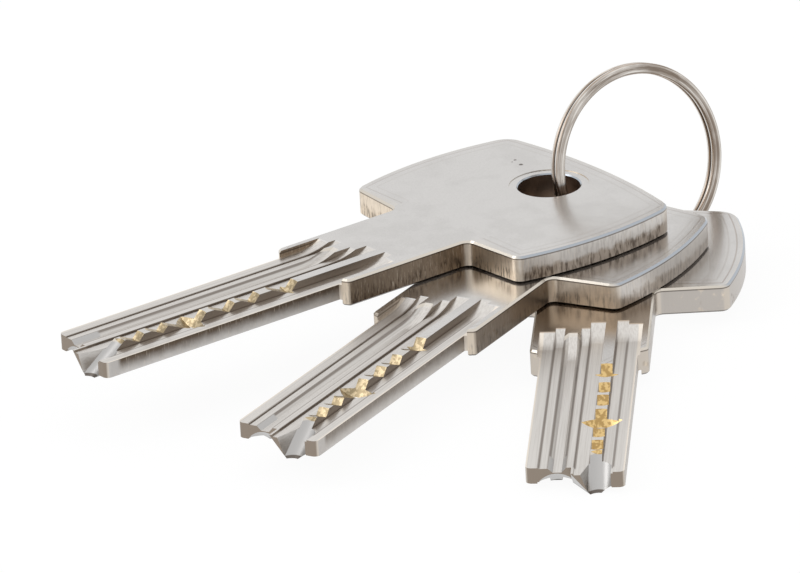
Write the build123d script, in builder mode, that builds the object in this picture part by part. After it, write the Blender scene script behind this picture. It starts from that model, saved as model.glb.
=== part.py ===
from build123d import *
import math
import os

# Three identical reversible dimple keys fanned out flat, one on another, on one double-turn split ring.
# Millimetres. Z is up. The origin is the middle of the bottom key's bow, on its underside.

# Sizes of one key, along its own axis from the middle of the ring hole
thick = 2.8
hole_r = 3.15
bow_rear = 5.15
bow_front = 14.32
rear_half = 13.01
front_half = 12.99
rear_bulge = 1.32
side_bulge = 1.34
rear_round = 2.4
front_round = 1.1
neck_start = 14.89
neck_half = 5.81
neck_round = 0.9
stop_start = 29.6
stop_len = 0.55
stop_round = 0.5
blade_half = 4.78
tip_left = 57.25
tip_right = 58.5
tip_nose = 58.75
nose_left = -0.35
nose_right = 3.42
lobe_round = 0.6
pad_start = 54.0
pad_flat = 2.5
pad_side = 2.15
edge_break = 0.2
coin_r = 4.05
coin_depth = 0.07

# Rounded corners of the outline: along the key, across it, radius
rounded = [
    (-bow_rear, rear_half, rear_round),
    (bow_front, front_half, front_round),
    (neck_start, neck_half, neck_round),
    (stop_start, neck_half, stop_round),
]
tip_corners = [(tip_left, -blade_half), (tip_right, blade_half)]

# Channels milled into each face of the blade: from and to across the key, depth, where the cut begins
cutter_r = 9.2
strip_half = 5.05
floor_a = 0.6
floor_b = 0.68
floor_deep = 0.76
channels = [
    (-strip_half, -3.45, floor_a, 25.1),
    (-3.5, -2.55, floor_b, 24.2),
    (-0.95, -0.05, floor_a, 24.3),
    (-0.1, 1.38, floor_deep, 22.9),
    (2.5, 3.65, floor_deep, 22.6),
    (3.6, strip_half, floor_a, 23.4),
]
vee_depth = 1.1
vee_top = (-2.6, -0.9)
vee_floor = (-2.15, -1.3)
vee_start = 25.5

# Dimples cut on the rib with a wheel whose axis lies along the key: where each is deepest, and how deep
wheel_r = 3.0
wheel_bow = 45.0
wheel_tip = 22.5
dimple_v = 1.94
dimples = [(34.4, 1.0), (38.8, 0.75), (41.9, 0.8), (46.0, 1.45), (49.9, 0.65), (52.8, 0.7)]

# Ramp that lifts the pins at the tip, with a round floor and one leaning side
ramp_angle = 36.0
ramp_middle = 2.2
ramp_edge = 3.45
foot_rise = 0.37
edge_rise = 0.56
# On the top and on the underside: where the ramp starts, the foot of its side, and how far that leans
ramp_top = (54.5, 1.25, 0.46)
ramp_under = (55.1, 0.36, 1.03)

# The pile: where each hole stands, which way each key points, and the play between keys
stack_play = 0.03
middle_of_bow = 5.5
bottom_yaw = -95.0
middle_shift = (-3.12, -1.55)
middle_yaw = -121.3
top_shift = (-5.2, -0.02)
top_yaw = -143.6

# Split ring: two turns side by side, with one step between them
ring_r = 10.0
ring_wall = 1.0
turn_w = 0.55
turn_gap = 0.06
turn_round = 0.2
step_angle = 26.0
step_at = -32.0
ring_axis = (0.5349, -0.8219, 0.1961)
# Where the wire runs through the pile, seen from the bottom hole, how high, and at which turn of the ring
wire_shift = (-3.0005, 0.1595)
wire_height = 4.23
wire_turn = 204.682


def direction(angle):
    return (math.cos(math.radians(angle)), math.sin(math.radians(angle)), 0)


def key_plane(hole, yaw, level):
    height = thick / 2 + level * (thick + stack_play)
    return Plane(origin=(hole[0], hole[1], height), x_dir=direction(yaw), z_dir=(0, 0, 1))


def channel_cut(face, low, high, depth, start):
    # The cutter's round edge brings each channel up out of the face.
    full = start + math.sqrt(2 * cutter_r * depth - depth * depth)
    across = Plane(origin=face.from_local_coords((full, 0, 0)), x_dir=face.y_dir, z_dir=face.x_dir)
    with BuildSketch(across) as section:
        with Locations(((low + high) / 2, (1 - depth) / 2)):
            Rectangle(high - low, depth + 1)
    extrude(section.sketch, amount=tip_nose + 3 - full, mode=Mode.SUBTRACT)
    centre = face.from_local_coords((full, 0, cutter_r - depth))
    revolve(section.sketch, axis=Axis(centre, face.y_dir), revolution_arc=48, mode=Mode.SUBTRACT)


def vee_cut(face):
    # One deeper groove with sloping sides runs between two of the channels.
    full = vee_start + math.sqrt(2 * cutter_r * vee_depth - vee_depth**2)
    across = Plane(origin=face.from_local_coords((full, 0, 0)), x_dir=face.y_dir, z_dir=face.x_dir)
    with BuildSketch(across) as section:
        with BuildLine():
            Polyline(
                (vee_floor[0], -vee_depth),
                (vee_floor[1], -vee_depth),
                (vee_top[1], -floor_b),
                (vee_top[1], 1),
                (vee_top[0], 1),
                (vee_top[0], -floor_b),
                close=True,
            )
        make_face()
    extrude(section.sketch, amount=tip_nose + 3 - full, mode=Mode.SUBTRACT)
    centre = face.from_local_coords((full, 0, cutter_r - vee_depth))
    revolve(section.sketch, axis=Axis(centre, face.y_dir), revolution_arc=48, mode=Mode.SUBTRACT)


def dimple_cut(face, root, depth):
    # A wheel with a steep side to the bow and a shallow side to the tip
    back = root - wheel_r / math.tan(math.radians(wheel_bow))
    front = root + wheel_r / math.tan(math.radians(wheel_tip))
    axle = face.from_local_coords((0, dimple_v, wheel_r - depth))
    upright = Plane(origin=axle, x_dir=face.x_dir, z_dir=-face.y_dir)
    with BuildSketch(upright) as section:
        with BuildLine():
            Polyline((back, 0), (root, -wheel_r), (front, 0), close=True)
        make_face()
    revolve(section.sketch, axis=Axis(axle, face.x_dir), revolution_arc=360, mode=Mode.SUBTRACT)


def ramp_cut(face, start, foot, lean):
    # A round cutter goes down through the end of the blade.
    down = math.radians(ramp_angle)
    way = face.x_dir * math.cos(down) - face.z_dir * math.sin(down)
    across = Plane(origin=face.from_local_coords((start, 0, 0)), x_dir=face.y_dir, z_dir=way)
    with BuildSketch(across) as section:
        with BuildLine():
            ThreePointArc((foot, foot_rise), (ramp_middle, 0), (ramp_edge, edge_rise))
            Polyline(
                (ramp_edge, edge_rise),
                (ramp_edge, foot_rise + thick),
                (foot - lean * thick, foot_rise + thick),
                (foot, foot_rise),
            )
        make_face()
    extrude(section.sketch, amount=tip_nose + 3 - start, mode=Mode.SUBTRACT)


def key(place):
    half = thick / 2
    flip = Plane(origin=place.origin, x_dir=place.x_dir, z_dir=-place.z_dir)
    with BuildPart() as body:
        with BuildSketch(place.offset(-half)) as outline:
            with BuildLine():
                ThreePointArc(
                    (-bow_rear, -rear_half),
                    (-bow_rear - rear_bulge, 0),
                    (-bow_rear, rear_half),
                )
                for side, end in ((-1, tip_left), (1, tip_right)):
                    ThreePointArc(
                        (-bow_rear, side * rear_half),
                        ((bow_front - bow_rear) / 2, side * (rear_half + side_bulge)),
                        (bow_front, side * front_half),
                    )
                    Polyline(
                        (bow_front, side * front_half),
                        (neck_start, side * neck_half),
                        (stop_start, side * neck_half),
                        (stop_start + stop_len, side * blade_half),
                        (end, side * blade_half),
                    )
                Polyline(
                    (tip_left, -blade_half),
                    (tip_left, nose_left),
                    (tip_nose, nose_left),
                    (tip_nose, nose_right),
                    (tip_right, nose_right),
                    (tip_right, blade_half),
                )
            make_face()
            for u, v, size in rounded:
                for side in (-1, 1):
                    points = outline.sketch_local.vertices()
                    fillet(points.sort_by_distance((u, side * v, 0))[0], size)
            for u, v in tip_corners:
                points = outline.sketch_local.vertices()
                fillet(points.sort_by_distance((u, v, 0))[0], lobe_round)
            Circle(hole_r, mode=Mode.SUBTRACT)
        extrude(amount=thick)
        rims = body.faces().filter_by(Axis.Z).edges()
        chamfer(rims, edge_break)
        for side in (place, flip):
            face = side.offset(half)
            with BuildSketch(face):
                Circle(coin_r)
            extrude(amount=-coin_depth, mode=Mode.SUBTRACT)
            for low, high, depth, start in channels:
                channel_cut(face, low, high, depth, start)
            vee_cut(face)
            for root, depth in dimples:
                dimple_cut(face, root, depth)
        # Under the nose the grooves stop short, and the metal goes down to the underside.
        pad_end = place.offset(half).from_local_coords((pad_start, 0, 0))
        with BuildSketch(Plane(origin=pad_end, x_dir=place.y_dir, z_dir=place.x_dir)):
            with BuildLine():
                Polyline(
                    (nose_left, -half),
                    (nose_left, -thick),
                    (pad_flat, -thick),
                    (nose_right, -pad_side),
                    (nose_right, -half),
                    close=True,
                )
            make_face()
        extrude(amount=tip_nose - pad_start)
        ramp_cut(place.offset(half), *ramp_top)
        ramp_cut(flip.offset(half), *ramp_under)
    return body.part


def turned(shift, hole):
    return (hole[0] + shift[0], hole[1] + shift[1])


bottom_way = direction(bottom_yaw)
bottom_hole = (-middle_of_bow * bottom_way[0], -middle_of_bow * bottom_way[1])
middle_hole = turned(middle_shift, bottom_hole)
top_hole = turned(top_shift, bottom_hole)

with BuildPart() as key_bottom:
    add(key(key_plane(bottom_hole, bottom_yaw, 0)))
key_bottom.part.label = "key_bottom"

with BuildPart() as key_middle:
    add(key(key_plane(middle_hole, middle_yaw, 1)))
key_middle.part.label = "key_middle"

with BuildPart() as key_top:
    add(key(key_plane(top_hole, top_yaw, 2)))
key_top.part.label = "key_top"

level_way = (-ring_axis[1], ring_axis[0], 0)
wire_in_pile = (bottom_hole[0] + wire_shift[0], bottom_hole[1] + wire_shift[1], wire_height)
wire_plane = Plane(origin=wire_in_pile, x_dir=level_way, z_dir=ring_axis)
wire_angle = math.radians(wire_turn)
to_wire = wire_plane.x_dir * math.cos(wire_angle) + wire_plane.y_dir * math.sin(wire_angle)
ring_centre = wire_plane.origin - to_wire * (ring_r - ring_wall / 2)
ring_plane = Plane(origin=ring_centre, x_dir=level_way, z_dir=ring_axis)
turn_offset = (turn_w + turn_gap) / 2


def turn_section(angle, offset):
    turned_by = math.radians(angle)
    outward = ring_plane.x_dir * math.cos(turned_by) + ring_plane.y_dir * math.sin(turned_by)
    place = Plane(
        origin=ring_plane.origin + outward * (ring_r - ring_wall / 2) + ring_plane.z_dir * offset,
        x_dir=outward,
        z_dir=ring_plane.z_dir.cross(outward),
    )
    with BuildSketch(place) as section:
        RectangleRounded(ring_wall, turn_w, turn_round)
    return section.sketch


with BuildPart() as split_ring:
    spin = Axis(ring_plane.origin, ring_plane.z_dir)
    sweep_angle = 360 - step_angle
    revolve(turn_section(step_at + step_angle, -turn_offset), axis=spin, revolution_arc=sweep_angle)
    revolve(turn_section(step_at + step_angle, turn_offset), axis=spin, revolution_arc=sweep_angle)
    stations = 7
    sections = []
    for station in range(stations):
        share = station / (stations - 1)
        smooth = share * share * (3 - 2 * share)
        sections.append(turn_section(step_at + share * step_angle, turn_offset * (1 - 2 * smooth)))
    loft(sections)
split_ring.part.label = "split_ring"

os.makedirs("parts", exist_ok=True)
export_step(key_bottom.part, "parts/key_bottom.step")
export_step(key_middle.part, "parts/key_middle.step")
export_step(key_top.part, "parts/key_top.step")
export_step(split_ring.part, "parts/split_ring.step")
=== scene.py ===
# %% [markdown]
# # Three dimple keys on a split ring
# The real object is a small bunch of spare keys: three identical reversible keys with plain rounded
# bows, fanned out flat one on another, and a split ring through their holes. The shapes are already
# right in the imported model, to a tenth of a millimetre. This script adds what the model can't hold:
# the satin nickel plate, the sheared and streaked edges, the milled channels, the bare brass in the
# dimples, and a camera and light like those of the photograph.

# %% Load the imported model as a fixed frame
import math

import bpy
from mathutils import Matrix, Vector


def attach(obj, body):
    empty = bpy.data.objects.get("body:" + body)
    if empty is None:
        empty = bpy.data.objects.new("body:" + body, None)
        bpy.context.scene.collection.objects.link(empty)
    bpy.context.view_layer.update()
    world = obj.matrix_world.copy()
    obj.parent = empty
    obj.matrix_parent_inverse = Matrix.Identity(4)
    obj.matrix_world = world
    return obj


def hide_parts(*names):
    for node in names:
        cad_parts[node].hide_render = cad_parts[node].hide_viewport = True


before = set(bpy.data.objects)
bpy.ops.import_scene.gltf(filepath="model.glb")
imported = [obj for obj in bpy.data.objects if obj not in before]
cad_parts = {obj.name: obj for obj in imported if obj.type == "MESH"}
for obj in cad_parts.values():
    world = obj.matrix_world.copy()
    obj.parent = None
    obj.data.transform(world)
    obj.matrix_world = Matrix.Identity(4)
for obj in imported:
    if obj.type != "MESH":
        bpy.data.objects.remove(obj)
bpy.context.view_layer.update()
bpy.ops.object.select_all(action="DESELECT")

# %% [markdown]
# ## Camera
# The camera comes first, because every later choice is judged through it. The picture was taken from
# low in front with a long lens. The numbers come from matching the straight edges and the holes of
# the keys: where the lens points, how high it stands, how far away it is and how much it is rolled.

# %% Camera of the photograph
MM = 0.001
aim = Vector((-20.17, 1.41, 0.0)) * MM
camera_distance = 1040.9 * MM
camera_elevation = math.radians(22.379)
camera_roll = math.radians(-3.203)
focal_pixels = 10411.0
photo_width = 800.0
sensor_width = 36.0
clip_near, clip_far = 0.01, 20.0

bpy.ops.object.camera_add()
camera = bpy.context.object
camera.name = "photo_camera"
camera.data.sensor_width = sensor_width
camera.data.lens = focal_pixels / photo_width * sensor_width
camera.data.clip_start, camera.data.clip_end = clip_near, clip_far
tilted_up = Matrix.Rotation(math.radians(90) - camera_elevation, 4, "X")
rolled = Matrix.Rotation(camera_roll, 4, "Z")
turned = tilted_up @ rolled
back = turned @ Vector((0, 0, 1))
camera.matrix_world = Matrix.Translation(aim + back * camera_distance) @ turned
bpy.context.scene.camera = camera
print("lens", round(camera.data.lens, 1), "mm, camera at", [round(c, 4) for c in camera.location])

# %% [markdown]
# ## Helpers for node trees
# Every finish here is a tree of nodes. Each of these short functions adds one node, or a few that
# belong together, so that a step of a finish can be read as one line.

# %% Add a node and link it
def node(tree, kind, **settings):
    made = tree.nodes.new(kind)
    for name, value in settings.items():
        setattr(made, name, value)
    return made


def join(tree, source, target):
    tree.links.new(source, target)


def feed(tree, target, value):
    # A socket takes either a link from another node or a plain value.
    if isinstance(value, bpy.types.NodeSocket):
        join(tree, value, target)
    else:
        target.default_value = value


# %% Sums with numbers
def maths(tree, operation, first, second=0.0, third=None, clamp=False):
    made = node(tree, "ShaderNodeMath", operation=operation, use_clamp=clamp)
    feed(tree, made.inputs[0], first)
    feed(tree, made.inputs[1], second)
    if third is not None:
        feed(tree, made.inputs[2], third)
    return made.outputs[0]


def absolute(tree, value):
    return maths(tree, "ABSOLUTE", value)


def times(tree, first, *others):
    for other in others:
        first = maths(tree, "MULTIPLY", first, other)
    return first


def ramp(tree, value, low, high):
    # Rises smoothly from 0 at low to 1 at high, and falls where low is the greater
    made = node(tree, "ShaderNodeMapRange", interpolation_type="SMOOTHSTEP")
    feed(tree, made.inputs["Value"], value)
    made.inputs["From Min"].default_value = low
    made.inputs["From Max"].default_value = high
    return made.outputs["Result"]


def band(tree, value, low, high, soft):
    # 1 between low and high, falling to 0 over the soft width on both sides
    rising = ramp(tree, value, low - soft, low + soft)
    falling = ramp(tree, value, high + soft, high - soft)
    return times(tree, rising, falling)


# %% Sums with directions and places
def parted(tree, vector):
    made = node(tree, "ShaderNodeSeparateXYZ")
    join(tree, vector, made.inputs[0])
    return made.outputs


def combined(tree, x, y, z=0.0):
    made = node(tree, "ShaderNodeCombineXYZ")
    for axis, value in zip("XYZ", (x, y, z)):
        feed(tree, made.inputs[axis], value)
    return made.outputs[0]


def vector_maths(tree, operation, first, second=None):
    made = node(tree, "ShaderNodeVectorMath", operation=operation)
    join(tree, first, made.inputs[0])
    if second is not None:
        feed(tree, made.inputs[1], second)
    gives_number = operation in ("LENGTH", "DISTANCE", "DOT_PRODUCT")
    return made.outputs["Value" if gives_number else "Vector"]


# %% Colours, noise and groups
def mixed(tree, factor, first, second):
    made = node(tree, "ShaderNodeMix", data_type="RGBA", blend_type="MIX")
    feed(tree, made.inputs["Factor"], factor)
    feed(tree, made.inputs["A"], first)
    feed(tree, made.inputs["B"], second)
    return made.outputs["Result"]


def drawn_noise(tree, place, scale, detail, roughness, stretch=(1, 1, 1)):
    # Where stretch is small along an axis, the marks are drawn out along it.
    drawn = node(tree, "ShaderNodeMapping")
    join(tree, place, drawn.inputs["Vector"])
    drawn.inputs["Scale"].default_value = stretch
    noise = node(tree, "ShaderNodeTexNoise")
    join(tree, drawn.outputs["Vector"], noise.inputs["Vector"])
    noise.inputs["Scale"].default_value = scale
    noise.inputs["Detail"].default_value = detail
    noise.inputs["Roughness"].default_value = roughness
    return noise.outputs["Fac"]


FLOAT, COLOR, VECTOR = "NodeSocketFloat", "NodeSocketColor", "NodeSocketVector"


def group(name, inputs, outputs):
    tree = bpy.data.node_groups.new(name, "ShaderNodeTree")
    for socket_name, kind in inputs.items():
        tree.interface.new_socket(socket_name, in_out="INPUT", socket_type=kind)
    for socket_name, kind in outputs.items():
        tree.interface.new_socket(socket_name, in_out="OUTPUT", socket_type=kind)
    return tree, tree.nodes.new("NodeGroupInput").outputs, tree.nodes.new("NodeGroupOutput").inputs


def placed(tree, group_tree, **values):
    # Puts a group into a tree. Each name is one of its inputs, with _ for a space.
    made = node(tree, "ShaderNodeGroup", node_tree=group_tree)
    for name, value in values.items():
        feed(tree, made.inputs[name.replace("_", " ")], value)
    return made.outputs


# %% Parts of a bare metal
def own_coordinates(tree, centre, turn):
    # Places in millimetres and facings, both turned into a piece's own directions
    source = node(tree, "ShaderNodeTexCoord")
    place = node(tree, "ShaderNodeMapping", vector_type="TEXTURE")
    join(tree, source.outputs["Object"], place.inputs["Vector"])
    place.inputs["Location"].default_value = centre
    place.inputs["Rotation"].default_value = turn
    place.inputs["Scale"].default_value = (MM, MM, MM)
    facing = node(tree, "ShaderNodeMapping", vector_type="TEXTURE")
    join(tree, source.outputs["Normal"], facing.inputs["Vector"])
    facing.inputs["Rotation"].default_value = turn
    return place.outputs["Vector"], facing.outputs["Vector"]


def bare_metal(name):
    made = bpy.data.materials.new(name)
    made.use_nodes = True
    made.node_tree.nodes["Principled BSDF"].inputs["Metallic"].default_value = 1.0
    return made


def dress(metal, colour, roughness, height, strength, distance):
    tree = metal.node_tree
    shader = tree.nodes["Principled BSDF"]
    join(tree, colour, shader.inputs["Base Color"])
    join(tree, roughness, shader.inputs["Roughness"])
    bump = node(tree, "ShaderNodeBump")
    bump.inputs["Strength"].default_value = strength
    bump.inputs["Distance"].default_value = distance
    join(tree, height, bump.inputs["Height"])
    join(tree, bump.outputs["Normal"], shader.inputs["Normal"])


# %% [markdown]
# ## Floor and light
# The pile stands on the lowest point of the ring and on the tip of the bottom key, so the floor is
# laid through those places. The photograph has a plain white surround. Where the camera or the
# metal looks at the floor it is lifted to white, and a little of it is still lit, which keeps a
# soft shadow. Everywhere else it is a plain pale floor.

# %% A pale floor under the ring and the lowest tip
tip_contact = Vector((-3.19, -53.15, 0.0)) * MM
ring_contact = Vector((5.33, 9.81, -1.76)) * MM
floor_size = 4.0
rise = (tip_contact.z - ring_contact.z) / (tip_contact - ring_contact).xy.length
key_way = (tip_contact - ring_contact).xy.normalized()
floor_normal = Vector((-key_way.x * rise, -key_way.y * rise, 1)).normalized()
floor_turn = floor_normal.to_track_quat("Z", "Y").to_matrix().to_4x4()
bpy.ops.mesh.primitive_plane_add(size=floor_size)
floor = bpy.context.object
floor.name = "pale_floor"
floor.matrix_world = Matrix.Translation(ring_contact) @ floor_turn
print("floor slope in degrees:", round(math.degrees(math.atan(rise)), 2))


# %% White for the camera and for the metal
def looked_at(tree):
    # 1 for rays that come from the camera or off a shiny or clear surface
    ray = node(tree, "ShaderNodeLightPath").outputs
    seen = maths(tree, "MAXIMUM", ray["Is Camera Ray"], ray["Is Glossy Ray"])
    return maths(tree, "MAXIMUM", seen, ray["Is Transmission Ray"])


def chosen(tree, factor, first, second):
    made = node(tree, "ShaderNodeMixShader")
    for socket, source in zip(made.inputs, (factor, first, second)):
        join(tree, source, socket)
    return made.outputs[0]


floor_pale = (0.9, 0.9, 0.9, 1)
floor_glow = 0.93
floor_faint = (0.09, 0.09, 0.09, 1)

floor_paint = bpy.data.materials.new("floor_paint")
floor_paint.use_nodes = True
tree = floor_paint.node_tree
tree.nodes.clear()
lit = node(tree, "ShaderNodeBsdfDiffuse")
lit.inputs["Color"].default_value = floor_pale
lifted = node(tree, "ShaderNodeEmission")
lifted.inputs["Strength"].default_value = floor_glow
faint = node(tree, "ShaderNodeBsdfDiffuse")
faint.inputs["Color"].default_value = floor_faint
both = node(tree, "ShaderNodeAddShader")
join(tree, lifted.outputs[0], both.inputs[0])
join(tree, faint.outputs[0], both.inputs[1])
surface = node(tree, "ShaderNodeOutputMaterial").inputs["Surface"]
join(tree, chosen(tree, looked_at(tree), lit.outputs[0], both.outputs[0]), surface)
floor.data.materials.append(floor_paint)
print("floor paint nodes:", len(tree.nodes))

# %% A white world
world_white = 1.0
world_ambient = 0.66

world = bpy.data.worlds.new("white_studio")
bpy.context.scene.world = world
world.use_nodes = True
tree = world.node_tree
tree.nodes.clear()
skies = []
for strength in (world_ambient, world_white):
    sky = node(tree, "ShaderNodeBackground")
    sky.inputs["Color"].default_value = (1, 1, 1, 1)
    sky.inputs["Strength"].default_value = strength
    skies.append(sky.outputs[0])
surface = node(tree, "ShaderNodeOutputWorld").inputs["Surface"]
join(tree, chosen(tree, looked_at(tree), *skies), surface)
print("world nodes:", len(tree.nodes))

# %% Two soft lamps
# The back lamp is wide and weak. A small strong one would be mirrored as white spots in the rounded
# ends of the channels.
lamps = {
    "back_softbox": {"place": (-0.05, 0.35, 0.66), "size": 1.0, "watts": 0.6},
    "side_softbox": {"place": (-0.55, -0.1, 0.4), "size": 0.5, "watts": 1.0},
}
for lamp_name, light in lamps.items():
    bpy.ops.object.light_add(type="AREA", location=light["place"])
    lamp = bpy.context.object
    lamp.name = lamp_name
    lamp.data.shape = "DISK"
    lamp.data.size = light["size"]
    lamp.data.energy = light["watts"]
    lamp.rotation_mode = "QUATERNION"
    lamp.rotation_quaternion = (Vector(light["place"]) - aim).to_track_quat("Z", "Y")
    print(lamp_name, light["watts"], "W, disk of", light["size"], "m")
bpy.context.scene.view_settings.view_transform = "Standard"

# %% [markdown]
# ## Nickel plate on the keys
# Every key is the same blank, stamped, plated and then milled, so one set of node groups makes them
# all. Each key's material first turns the object's coordinates into the key's own ones, in
# millimetres from the ring hole: X along the key, Y across it, and Z up from its middle.

# %% [markdown]
# ## Which face is which
# The plate shows five kinds of surface: the flat faces, the sheared walls round the outline, the
# broken rims between them, the milled channels, and the dimples, which were cut after plating and
# show brass. They are told apart by their place on the key and by the way they face, so no face has
# to be painted by hand.

# %% Where each kind of surface lies
# Pairs of places are where a mask begins and where it is full. An upright of 1 is a flat face, and
# 0 is a wall.
half_thick = 1.4
wall_upright = 0.35, 0.15
rim_upright, rim_soft = (0.45, 0.9), 0.05
rim_depth = 0.26, 0.2
corner_turn = 0.26, 0.46
milled_along = 22.0, 23.2
milled_depth = 0.015, 0.08
line_sides = -3.5, -2.55, -0.95, -0.05, 1.38, 2.5, 3.62
line_reach = 0.2, 0.07
line_from = 24.5, 27.5
line_to = 57.5, 57.0
slope_along = 53.9, 54.3
slope_upright, slope_soft = (0.35, 0.93), 0.03
row_along, row_across, row_soft = (32.3, 54.9), (-0.6, 4.5), 0.05
dimple_tilt = 0.14, 0.2
dimple_upright = 0.2, 0.3
hole_reach = 3.6, 3.3
mask_names = "Wall", "Rim", "Channel", "Line", "Dimple", "Hole", "Corner", "Slope", "Depth"
print("channels from", milled_along[0], "mm, dimples from", row_along[0], "mm along the key")

# %% Walls, rims and corners
regions, region_in, region_out = group(
    "key_regions",
    {"Place": VECTOR, "Facing": VECTOR},
    dict.fromkeys(mask_names, FLOAT),
)
place = parted(regions, region_in["Place"])
facing = parted(regions, region_in["Facing"])
along = place["X"]
# The key is reversible, so what lies at +Y on top lies at -Y underneath.
across = times(regions, place["Y"], maths(regions, "SIGN", place["Z"]))
upright = absolute(regions, facing["Z"])
face_along = absolute(regions, facing["X"])
face_across = absolute(regions, facing["Y"])
depth = maths(regions, "SUBTRACT", half_thick, absolute(regions, place["Z"]))
wall = ramp(regions, upright, *wall_upright)
rim = band(regions, upright, *rim_upright, rim_soft)
rim = times(regions, rim, ramp(regions, depth, *rim_depth))
both_ways = times(regions, face_along, face_across)
corner = times(regions, wall, ramp(regions, both_ways, *corner_turn))

# %% Channels, tip slope, dimples and hole
milled = times(regions, ramp(regions, along, *milled_along), ramp(regions, depth, *milled_depth))
line = 0.0
for side in line_sides:
    from_side = absolute(regions, maths(regions, "SUBTRACT", across, side))
    line = maths(regions, "MAXIMUM", line, ramp(regions, from_side, *line_reach))
line = times(regions, line, ramp(regions, along, *line_from), ramp(regions, along, *line_to))
leaning = band(regions, upright, *slope_upright, slope_soft)
slope = times(regions, ramp(regions, along, *slope_along), leaning)
dimple = times(
    regions,
    band(regions, along, *row_along, row_soft),
    band(regions, across, *row_across, row_soft),
    ramp(regions, face_along, *dimple_tilt),
    ramp(regions, upright, *dimple_upright),
)
from_hole = vector_maths(regions, "LENGTH", combined(regions, along, across))
hole = ramp(regions, from_hole, *hole_reach)
masks = wall, rim, milled, line, dimple, hole, corner, slope, depth
for name, mask in zip(mask_names, masks):
    join(regions, mask, region_out[name])
print("masks:", ", ".join(mask_names))

# %% [markdown]
# ## The line inside the bow's edge
# The stamping tool rolls the edge of the bow over a little, and leaves a faint line about a
# millimetre inside it. How far a place lies from the edge is worked out from the bow's four sides,
# as straight lines and shallow bows.

# %% How far a place is from the edge of the bow
bow_half, bow_rear, bow_front, neck_half = 13.0, 5.15, 14.32, 5.81
rear_bulge, side_bulge = 1.32, 1.34
neck_soft, far_away = 0.8, 20.0
bow_middle, bow_reach = (bow_front - bow_rear) / 2, (bow_front + bow_rear) / 2

border, border_in, border_out = group("bow_border", {"Place": VECTOR}, {"Inside": FLOAT})
place = parted(border, border_in["Place"])
along, across = place["X"], absolute(border, place["Y"])
over_half = maths(border, "POWER", maths(border, "DIVIDE", across, bow_half), 2.0)
rear_line = maths(border, "MULTIPLY_ADD", over_half, rear_bulge, -bow_rear - rear_bulge)
from_rear = maths(border, "SUBTRACT", along, rear_line)
past_middle = maths(border, "DIVIDE", maths(border, "SUBTRACT", along, bow_middle), bow_reach)
over_reach = maths(border, "POWER", absolute(border, past_middle), 2.0)
side_line = maths(border, "MULTIPLY_ADD", over_reach, -side_bulge, bow_half + side_bulge)
from_side = maths(border, "SUBTRACT", side_line, across)
at_neck = ramp(border, across, neck_half + neck_soft, neck_half - neck_soft)
past_neck = times(border, at_neck, far_away)
from_front = maths(border, "ADD", maths(border, "SUBTRACT", bow_front, along), past_neck)
nearest = maths(border, "MINIMUM", maths(border, "MINIMUM", from_rear, from_side), from_front)
join(border, nearest, border_out["Inside"])
print("bow from", -bow_rear - rear_bulge, "to", bow_front, "mm along the key")

# %% [markdown]
# ## The walls
# A stamped edge has two zones. The upper one is burnished smooth by the punch, and the lower one is
# torn, with upright scratches. Light and shade are painted on too: the neck's walls are darker as
# painted shade, the shoulders and the tip's end walls are paler as painted light, the blade's wall
# carries a painted reflection that is paler low down, and rounded corners carry painted highlights.
# The lowest key of the pile is worn even.

# %% Colours of the walls
wall_smooth = (0.64, 0.61, 0.58, 1)
wall_torn = (0.42, 0.36, 0.305, 1)
wall_neck_shade = (0.25, 0.195, 0.145, 1)
wall_shoulder_lit = (0.90, 0.76, 0.59, 1)
wall_scratch = (0.06, 0.042, 0.03, 1)
wall_glint = (0.72, 0.64, 0.54, 1)
wall_worn = (0.50, 0.465, 0.43, 1)
wall_tip_lit = (0.55, 0.53, 0.51, 1)
blade_high_reflection = (0.13, 0.098, 0.072, 1)
blade_low_reflection = (0.66, 0.64, 0.62, 1)

# %% Zones of the walls
neck_begins = 14.6, 15.4
blade_begins = 29.9, 30.2
tip_begins = 56.6, 57.2
tear_line = 0.25, -0.45
tear_sway = 1.6
blade_line = 0.7, -0.9
blade_sway = 0.6
shoulder_facing, shoulder_light_amount = (0.6, 0.9), 0.75

walls, walls_in, walls_out = group(
    "stamped_wall",
    {"Place": VECTOR, "Facing": VECTOR, "Seeded": VECTOR,
     "Depth": FLOAT, "Corner": FLOAT, "Worn": FLOAT},
    {"Color": COLOR, "Height": FLOAT},
)
place = parted(walls, walls_in["Place"])
along, height = place["X"], place["Z"]
seeded = walls_in["Seeded"]
blotches = drawn_noise(walls, seeded, scale=0.9, detail=3.0, roughness=0.55)


def swaying(sway):
    # The height with a wandering amount added, so that a zone's edge isn't straight
    return maths(walls, "ADD", height, maths(walls, "MULTIPLY_ADD", blotches, sway, -sway / 2))


on_neck = ramp(walls, along, *neck_begins)
on_blade = ramp(walls, along, *blade_begins)
low_zone = ramp(walls, swaying(tear_sway), *tear_line)
colour = mixed(walls, low_zone, wall_smooth, wall_torn)
# The neck's walls are painted darker: painted shade.
colour = mixed(walls, on_neck, colour, wall_neck_shade)
face_along = absolute(walls, parted(walls, walls_in["Facing"])["X"])
# Walls that face along the key, at the shoulders, are painted paler: painted light.
lit_shoulder = times(walls, ramp(walls, face_along, *shoulder_facing), shoulder_light_amount)
colour = mixed(walls, lit_shoulder, colour, wall_shoulder_lit)
# The blade's wall is a painted reflection, dark high up and pale low down. The tip's end walls are
# painted paler as painted light.
blade_reflection_colour = mixed(walls, ramp(walls, swaying(blade_sway), *blade_line), blade_high_reflection, blade_low_reflection)
blade_reflection_colour = mixed(walls, ramp(walls, along, *tip_begins), blade_reflection_colour, wall_tip_lit)
colour = mixed(walls, on_blade, colour, blade_reflection_colour)
print("neck, blade and tip begin at", neck_begins[0], blade_begins[0], tip_begins[0], "mm")

# %% Scratches and wear on the walls, with painted glints and a painted shaded crease
glint_amount, corner_glint_amount, crease_shade_amount = 0.55, 0.5, 0.7
least_torn, torn_more_below = 0.2, 0.6
crease_depth, crease_soft = (0.2, 0.33), 0.04
upper_edge = 0.9, 1.0

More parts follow.
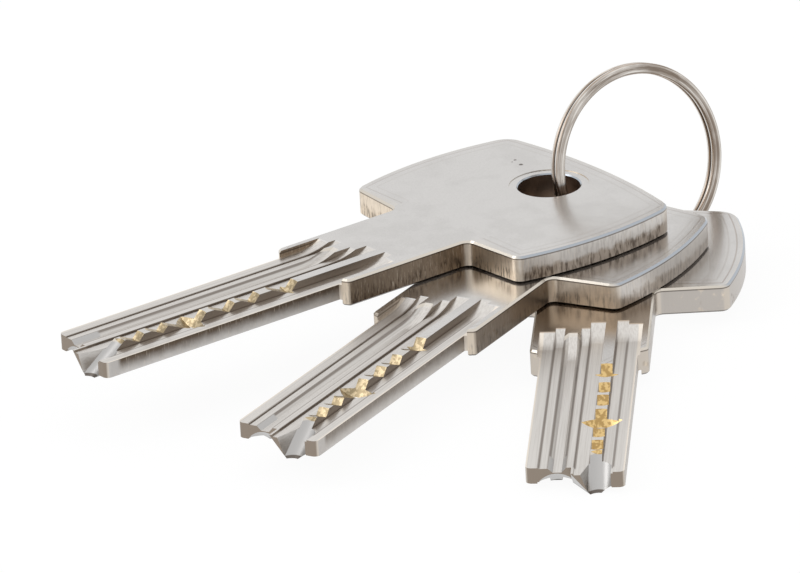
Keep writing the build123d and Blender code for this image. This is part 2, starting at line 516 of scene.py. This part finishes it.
upright_marks = drawn_noise(
    walls, seeded, scale=4.2, detail=5.0, roughness=0.6, stretch=(1, 1, 0.16)
)
fine_marks = drawn_noise(walls, seeded, scale=9.0, detail=3.0, roughness=0.6, stretch=(1, 1, 0.1))
not_blade = maths(walls, "SUBTRACT", 1.0, on_blade)
torn_amount = maths(walls, "MULTIPLY_ADD", low_zone, torn_more_below, least_torn)
torn = times(walls, ramp(walls, upright_marks, 0.56, 0.36), torn_amount, not_blade)
colour = mixed(walls, torn, colour, wall_scratch)
# Fine glints along the upright marks are painted highlights.
glints = times(walls, ramp(walls, fine_marks, 0.56, 0.74), glint_amount)
colour = mixed(walls, glints, colour, wall_glint)
worn = times(walls, walls_in["Worn"], ramp(walls, blotches, 0.2, 0.45))
colour = mixed(walls, worn, colour, wall_worn)
# Rounded corners are painted bright: painted highlights.
colour = mixed(walls, times(walls, walls_in["Corner"], corner_glint_amount), colour, wall_glint)
# A dark band just under the top rim is painted shade in the crease.
shaded_crease = band(walls, walls_in["Depth"], *crease_depth, crease_soft)
shaded_crease = times(walls, shaded_crease, ramp(walls, height, *upper_edge), crease_shade_amount)
colour = mixed(walls, shaded_crease, colour, wall_scratch)
join(walls, colour, walls_out["Color"])
join(walls, maths(walls, "ADD", upright_marks, times(walls, fine_marks, 0.4)), walls_out["Height"])
print("wall nodes:", len(walls.nodes))

# %% [markdown]
# ## The whole finish
# The colour is mixed in the order in which a key is made: plate first, then the milled channels with
# their cutter lines, the sheared walls, the rims, and brass last. The bump carries the same marks.

# %% Colours and marks of a plated key
plate_light = (0.61, 0.595, 0.58, 1)
plate_dull = (0.49, 0.475, 0.46, 1)
pit_color = (0.10, 0.08, 0.07, 1)
border_color = (0.34, 0.29, 0.25, 1)
neck_painted_reflection = (0.33, 0.24, 0.15, 1)
rim_highlight_cream = (0.66, 0.61, 0.54, 1)
rim_highlight_blue = (0.42, 0.45, 0.49, 1)
rim_under_shade = (0.15, 0.13, 0.115, 1)
edge_highlight_cream = (0.82, 0.74, 0.64, 1)
channel_light = (0.61, 0.585, 0.555, 1)
channel_dark = (0.46, 0.43, 0.40, 1)
channel_wall = (0.30, 0.25, 0.205, 1)
channel_step_shade = (0.11, 0.08, 0.06, 1)
slope_color = (0.47, 0.46, 0.45, 1)
hole_color = (0.36, 0.27, 0.21, 1)

finish, finish_in, finish_out = group(
    "key_finish",
    {"Place": VECTOR, "Facing": VECTOR, "Seed": VECTOR,
     "Worn": FLOAT, "Border": FLOAT, "Pits": FLOAT, "Neck": FLOAT,
     "Brass Light": COLOR, "Brass Dark": COLOR},
    {"Color": COLOR, "Roughness": FLOAT, "Height": FLOAT},
)
where = finish_in["Place"]
spot = parted(finish, where)
area = placed(finish, regions, Place=where, Facing=finish_in["Facing"])
seeded = vector_maths(finish, "ADD", where, finish_in["Seed"])
grain = drawn_noise(finish, seeded, scale=7.0, detail=6.0, roughness=0.7)
cloud = drawn_noise(finish, seeded, scale=0.28, detail=3.0, roughness=0.5)
cutter = drawn_noise(finish, seeded, scale=7.0, detail=4.0, roughness=0.6, stretch=(0.012, 1, 1))
facets = drawn_noise(finish, seeded, scale=2.4, detail=2.0, roughness=0.5)
print("a key's own settings:", ", ".join(finish_in.keys()[2:-1]))

# %% Flat faces: satin plate, a few pits and a painted reflection on the neck
pits = [((-1.66, -7.60, 1.4), 0.16), ((-1.33, -6.21, 1.4), 0.22), ((-1.11, -7.39, 1.4), 0.1)]
pit_rag, pit_soft = 0.16, 0.08
neck_reflection_along, neck_reflection_soft = (17.0, 27.0), 3.0
upper_side = 0.0, 1.0

grainy = times(finish, ramp(finish, grain, 0.66, 0.3), 0.45)
cloudy = times(finish, ramp(finish, cloud, 0.6, 0.35), 0.3)
plate = mixed(finish, maths(finish, "ADD", grainy, cloudy, clamp=True), plate_light, plate_dull)
pitted = 0.0
for pit_place, pit_size in pits:
    from_pit = vector_maths(finish, "DISTANCE", where, pit_place)
    ragged = maths(finish, "MULTIPLY_ADD", grain, 0.25, from_pit)
    one_pit = ramp(finish, ragged, pit_size + pit_rag, pit_size + pit_soft)
    pitted = maths(finish, "MAXIMUM", pitted, one_pit)
plate = mixed(finish, times(finish, pitted, finish_in["Pits"]), plate, pit_color)
# The upper face of the neck is painted brown, a painted reflection of the wall of the key above. Only
# the lowest key uses it.
neck_reflection = band(finish, spot["X"], *neck_reflection_along, neck_reflection_soft)
neck_reflection = times(finish, neck_reflection, ramp(finish, spot["Z"], *upper_side), finish_in["Neck"])
plate = mixed(finish, neck_reflection, plate, neck_painted_reflection)
print(len(pits), "pits in the bow")

# %% The lines inside the edge, with painted reflection bands and a painted highlight
first_line, first_soft = (0.72, 0.86), 0.07
second_line, second_soft, second_amount = (1.55, 1.7), 0.12, 0.45
rolled_edge, rolled_highlight_amount = (0.62, 0.2), 0.25
line_amount = 0.7

inside = placed(finish, border, Place=where)["Inside"]
# The first line is the stamped line. The second line, and the stronger lines of the lowest key, are
# painted reflection bands.
strong = band(finish, inside, *first_line, first_soft)
weak = times(finish, band(finish, inside, *second_line, second_soft), second_amount)
edge_lines = times(finish, maths(finish, "ADD", strong, weak), finish_in["Border"])
plate = mixed(finish, times(finish, edge_lines, line_amount), plate, border_color)
# The rolled-over margin is painted paler: a painted highlight on its curve.
rolled_highlight = times(finish, ramp(finish, inside, *rolled_edge), rolled_highlight_amount)
plate = mixed(finish, rolled_highlight, plate, rim_highlight_cream)
print("lines", first_line[0], "and", second_line[0], "mm inside the edge")

# %% Channels over the plate, with cutter lines, painted shade at the steps and painted highlights on the outer edges
cutter_amount, step_shade_amount, edge_highlight_amount = 0.6, 0.7, 0.7
edge_highlight_reach = 4.55, 4.7

from_axis = absolute(finish, spot["Y"])
cutter_lines = times(finish, ramp(finish, cutter, 0.6, 0.35), cutter_amount)
channel = mixed(finish, cutter_lines, channel_light, channel_dark)
# Dark lines along the steps between the channels are painted shade.
channel = mixed(finish, times(finish, area["Line"], step_shade_amount), channel, channel_step_shade)
# A cream line along the blade's outer edges is a painted highlight.
edge_highlight = times(finish, ramp(finish, from_axis, *edge_highlight_reach), edge_highlight_amount)
channel = mixed(finish, edge_highlight, channel, edge_highlight_cream)
colour = mixed(finish, area["Channel"], plate, channel)
print("plate and channel nodes:", len(finish.nodes))

# %% Walls, tip slope, rims, dimples and the hole
blade_along, blade_inner = (22.0, 23.0), (4.7, 4.55)
bow_to_neck = 13.6, 14.4
under_side = 0.1, -0.1

sides = placed(
    finish, walls, Place=where, Facing=finish_in["Facing"], Seeded=seeded,
    Depth=area["Depth"], Corner=area["Corner"], Worn=finish_in["Worn"],
)
colour = mixed(finish, area["Wall"], colour, sides["Color"])
on_blade = ramp(finish, spot["X"], *blade_along)
inner_wall = times(finish, area["Wall"], on_blade, ramp(finish, from_axis, *blade_inner))
colour = mixed(finish, inner_wall, colour, channel_wall)
colour = mixed(finish, area["Slope"], colour, slope_color)
# The rims are painted highlights, bluish on the bow and cream beyond it, and dark underneath as
# painted shade.
rim_light_and_shade = mixed(finish, ramp(finish, spot["X"], *bow_to_neck), rim_highlight_blue, rim_highlight_cream)
rim_light_and_shade = mixed(finish, ramp(finish, spot["Z"], *under_side), rim_light_and_shade, rim_under_shade)
colour = mixed(finish, area["Rim"], colour, rim_light_and_shade)
facet = ramp(finish, facets, 0.58, 0.44)
brass = mixed(finish, facet, finish_in["Brass Light"], finish_in["Brass Dark"])
colour = mixed(finish, area["Dimple"], colour, brass)
bore = times(finish, area["Hole"], area["Wall"])
colour = mixed(finish, bore, colour, hole_color)
join(finish, colour, finish_out["Color"])
print("with walls, rims and dimples:", len(finish.nodes))

# %% Roughness and bump
least_rough, grain_rough, wall_rough, channel_rough = 0.15, 0.10, 0.12, 0.1
wall_height, cutter_height, grain_height, line_depth = 1.3, 0.3, 0.12, 0.5

rough = maths(finish, "MULTIPLY_ADD", grain, grain_rough, least_rough)
rough = maths(finish, "ADD", rough, times(finish, area["Wall"], wall_rough))
rough = maths(finish, "ADD", rough, times(finish, area["Channel"], channel_rough))
join(finish, rough, finish_out["Roughness"])
marks = times(finish, sides["Height"], area["Wall"], wall_height)
marks = maths(finish, "ADD", marks, times(finish, cutter, area["Channel"], cutter_height))
marks = maths(finish, "ADD", marks, times(finish, grain, grain_height))
marks = maths(finish, "SUBTRACT", marks, times(finish, edge_lines, line_depth))
join(finish, marks, finish_out["Height"])
print("finish nodes:", len(finish.nodes))

# %% [markdown]
# ## One material for each key
# The three keys are one blank, but not one key: the marks lie elsewhere on each, the lowest one is
# worn smoothest, and its dimples are the freshest brass. The lowest one also has a painted reflection
# on its neck and stronger painted reflection bands along its bow.

# %% Each key's place, its own wear and its painted light
tan_light, tan_dark = (0.52, 0.42, 0.27, 1), (0.31, 0.245, 0.15, 1)
gold_light, gold_dark = (0.74, 0.53, 0.24, 1), (0.46, 0.30, 0.12, 1)
key_places = {
    "key_bottom": {"hole": (0.479, 5.479, 1.40), "yaw": -95.0},
    "key_middle": {"hole": (-2.641, 3.929, 4.23), "yaw": -121.3},
    "key_top": {"hole": (-4.721, 5.459, 7.06), "yaw": -143.6},
}
key_wear_and_light = {
    "key_bottom": {"Seed": (31.0, 7.0, 3.0), "Worn": 1.0, "Border": 1.0, "Pits": 0.0, "Neck": 0.75,
                   "Brass_Light": gold_light, "Brass_Dark": gold_dark},
    "key_middle": {"Seed": (0.0, 50.0, 11.0), "Worn": 0.35, "Border": 0.6, "Pits": 0.0, "Neck": 0.0,
                   "Brass_Light": tan_light, "Brass_Dark": tan_dark},
    "key_top": {"Seed": (0.0, 0.0, 0.0), "Worn": 0.0, "Border": 0.55, "Pits": 1.0, "Neck": 0.0,
                "Brass_Light": tan_light, "Brass_Dark": tan_dark},
}

# %% Put the finish on the keys
key_bump_strength, key_bump_height = 0.25, 0.03 * MM
for key_name, lies in key_places.items():
    metal = bare_metal(key_name + "_nickel")
    tree = metal.node_tree
    yaw = math.radians(lies["yaw"])
    place, facing = own_coordinates(tree, Vector(lies["hole"]) * MM, (0, 0, yaw))
    look = placed(tree, finish, Place=place, Facing=facing, **key_wear_and_light[key_name])
    height = look["Height"]
    dress(metal, look["Color"], look["Roughness"], height, key_bump_strength, key_bump_height)
    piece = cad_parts[key_name]
    for material_slot in piece.material_slots:
        material_slot.material = metal
    print(key_name, len(piece.data.polygons), "faces, material", metal.name)

# %% [markdown]
# ## The split ring
# A split ring is spring wire, rolled flat with round edges and coiled twice round, so that two turns
# lie side by side. A torus would lose the line between the turns. So the wire's section, a small
# plate with rounded corners, is spun nearly once round, stepped across to the second turn, and spun
# round again. The photograph doesn't show the step or the two cut ends, so they lie at the lowest
# part of the ring, hidden by the pile.

# %% The ring's own directions and sizes
ring_centre = Vector((4.2894, 10.9991, 8.12)) * MM
ring_axis = Vector((0.5349, -0.8219, 0.1961)).normalized()
level_way = Vector((-ring_axis.y, ring_axis.x, 0)).normalized()
rising_way = ring_axis.cross(level_way)
wire_radius = 9.5 * MM
wire_wall = 1.1 * MM
wire_turn = 0.6 * MM
wire_gap = 0.03 * MM
wire_round = 0.28 * MM
round_parts = 6
wire_start = math.radians(-100)
step_turn = math.radians(26)
full_turn = 2 * math.pi - step_turn
turn_parts, step_parts = 111, 13
side_step = wire_turn + wire_gap
print("ring", round(2 * wire_radius / MM + wire_wall / MM, 2), "mm across outside")

# %% The wire's section, with rounded corners
bpy.ops.object.select_all(action="DESELECT")
bpy.ops.mesh.primitive_plane_add(size=1)
coil = bpy.context.object
coil.name = "split_ring_coil"
outwards = level_way * math.cos(wire_start) + rising_way * math.sin(wire_start)
section = Matrix((outwards * wire_wall, ring_axis * wire_turn, outwards.cross(ring_axis)))
section = section.transposed().to_4x4()
section.translation = ring_centre + outwards * wire_radius + ring_axis * side_step / 2
coil.data.transform(section)
bpy.ops.object.mode_set(mode="EDIT")
bpy.ops.mesh.select_all(action="SELECT")
bpy.ops.mesh.bevel(offset=wire_round, segments=round_parts, affect="VERTICES")


# %% Round once, across, and round again
def spin_on(parts, angle):
    bpy.ops.mesh.spin(steps=parts, angle=angle, center=ring_centre, axis=ring_axis)


def eased(part):
    # Goes from 0 to 1 slowly at both ends, as a bent wire does
    return 3 * part**2 - 2 * part**3


spin_on(turn_parts, full_turn)
for part in range(step_parts):
    shift = eased((part + 1) / step_parts) - eased(part / step_parts)
    spin_on(1, step_turn / step_parts)
    bpy.ops.transform.translate(value=-ring_axis * side_step * shift)
spin_on(turn_parts, full_turn)
bpy.ops.mesh.select_all(action="SELECT")
bpy.ops.mesh.normals_make_consistent(inside=False)
bpy.ops.object.mode_set(mode="OBJECT")
print("wire corners:", len(coil.data.vertices))

# %% Soft cut ends and smooth turns
end_round = 0.08 * MM
softened = coil.modifiers.new("soft_ends", "BEVEL")
softened.width = end_round
softened.segments = 2
softened.limit_method = "ANGLE"
softened.angle_limit = math.radians(60)
bpy.ops.object.modifier_apply(modifier=softened.name)
bpy.ops.object.shade_smooth_by_angle(angle=math.radians(40))
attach(coil, "split_ring")
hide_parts("split_ring")
print("coil:", len(coil.data.polygons), "faces")

# %% [markdown]
# ## Bright wire
# Drawn and rolled wire has fine lines along its length, and the bright ones are painted highlights. A
# brownish tarnish lies in clouds, the faces turned inward are browner, and one side of the ring is
# painted browner as shade. The crown of each turn carries a painted highlight, and the groove between
# the turns is painted dark as shade. The pattern is worked out in the ring's own directions, so that
# its lines follow the wire round.

# %% Colours and places on the wire
wire_bright = (0.53, 0.49, 0.45, 1)
wire_brown = (0.27, 0.22, 0.18, 1)
wire_line = (0.16, 0.12, 0.09, 1)
wire_warm = (0.40, 0.27, 0.18, 1)
wire_shine = (0.88, 0.85, 0.80, 1)
groove_shade_color = (0.045, 0.035, 0.028, 1)
turn_middle = side_step / 2 / MM
inner_facing = -0.1, -0.75
rim_facing = 0.55, 0.85
side_shade_along = 1.0, 8.0
flank_reach, flank_soft = (0.13, 0.2), 0.04
crown_reach = 0.1, 0.03
groove_reach = 0.13, 0.05

# %% The ring's own directions, and places across its wire
wire = bare_metal("ring_nickel")
tree = wire.node_tree
ring_turned = Matrix((level_way, rising_way, ring_axis)).transposed().to_euler()
place, facing = own_coordinates(tree, ring_centre, ring_turned)
spot = parted(tree, place)
in_plane = combined(tree, spot["X"], spot["Y"])
reach = vector_maths(tree, "LENGTH", in_plane)
outward = vector_maths(tree, "NORMALIZE", in_plane)
outward_part = vector_maths(tree, "DOT_PRODUCT", facing, outward)
from_groove = absolute(tree, spot["Z"])
from_crown = absolute(tree, maths(tree, "SUBTRACT", from_groove, turn_middle))
print("middle of each turn", round(turn_middle, 3), "mm from the groove")

# %% Tarnish, painted shade on one side, and drawn lines with painted highlights
inner_amount, cloud_amount, side_shade_amount = 0.6, 0.45, 0.45
dark_amount, bright_amount = 0.75, 0.7
line_drift = 0.05

across_wire = combined(tree, reach, spot["Z"], times(tree, spot["X"], line_drift))
drawn_lines = drawn_noise(tree, across_wire, scale=4.2, detail=4.0, roughness=0.6)
cloud = drawn_noise(tree, place, scale=0.35, detail=3.0, roughness=0.5)
inner_brown = times(tree, ramp(tree, outward_part, *inner_facing), inner_amount)
cloudy_brown = times(tree, ramp(tree, cloud, 0.42, 0.62), cloud_amount)
# One side of the ring is painted browner: painted shade.
side_shade = times(tree, ramp(tree, spot["X"], *side_shade_along), side_shade_amount)
browned = maths(tree, "ADD", inner_brown, cloudy_brown, clamp=True)
browned = maths(tree, "ADD", browned, side_shade, clamp=True)
colour = mixed(tree, browned, wire_bright, wire_brown)
dark_lines = times(tree, ramp(tree, drawn_lines, 0.52, 0.38), dark_amount)
colour = mixed(tree, dark_lines, colour, wire_line)
# The bright lines along the drawn marks are painted highlights.
bright_lines = times(tree, ramp(tree, drawn_lines, 0.54, 0.66), bright_amount)
colour = mixed(tree, bright_lines, colour, wire_shine)
print("tarnish nodes:", len(tree.nodes))

# %% Painted highlights on the crowns, warm flanks and painted shade in the groove
flank_amount, crown_highlight_amount = 0.5, 0.75
wire_rough, line_rough = 0.10, 0.16
wire_bump_strength, wire_bump_height = 0.3, 0.02 * MM

on_rim = ramp(tree, absolute(tree, outward_part), *rim_facing)
flank = band(tree, from_crown, *flank_reach, flank_soft)
colour = mixed(tree, times(tree, on_rim, flank, flank_amount), colour, wire_warm)
# The middle of each turn, where the wire faces out or in, is painted bright: a painted highlight.
crown_highlight = times(tree, on_rim, ramp(tree, from_crown, *crown_reach), crown_highlight_amount)
colour = mixed(tree, crown_highlight, colour, wire_shine)
# The groove between the turns is painted nearly black: painted shade.
colour = mixed(tree, ramp(tree, from_groove, *groove_reach), colour, groove_shade_color)
rough = maths(tree, "MULTIPLY_ADD", drawn_lines, line_rough, wire_rough)
dress(wire, colour, rough, drawn_lines, wire_bump_strength, wire_bump_height)
coil.data.materials.append(wire)
print("ring finish nodes:", len(tree.nodes))
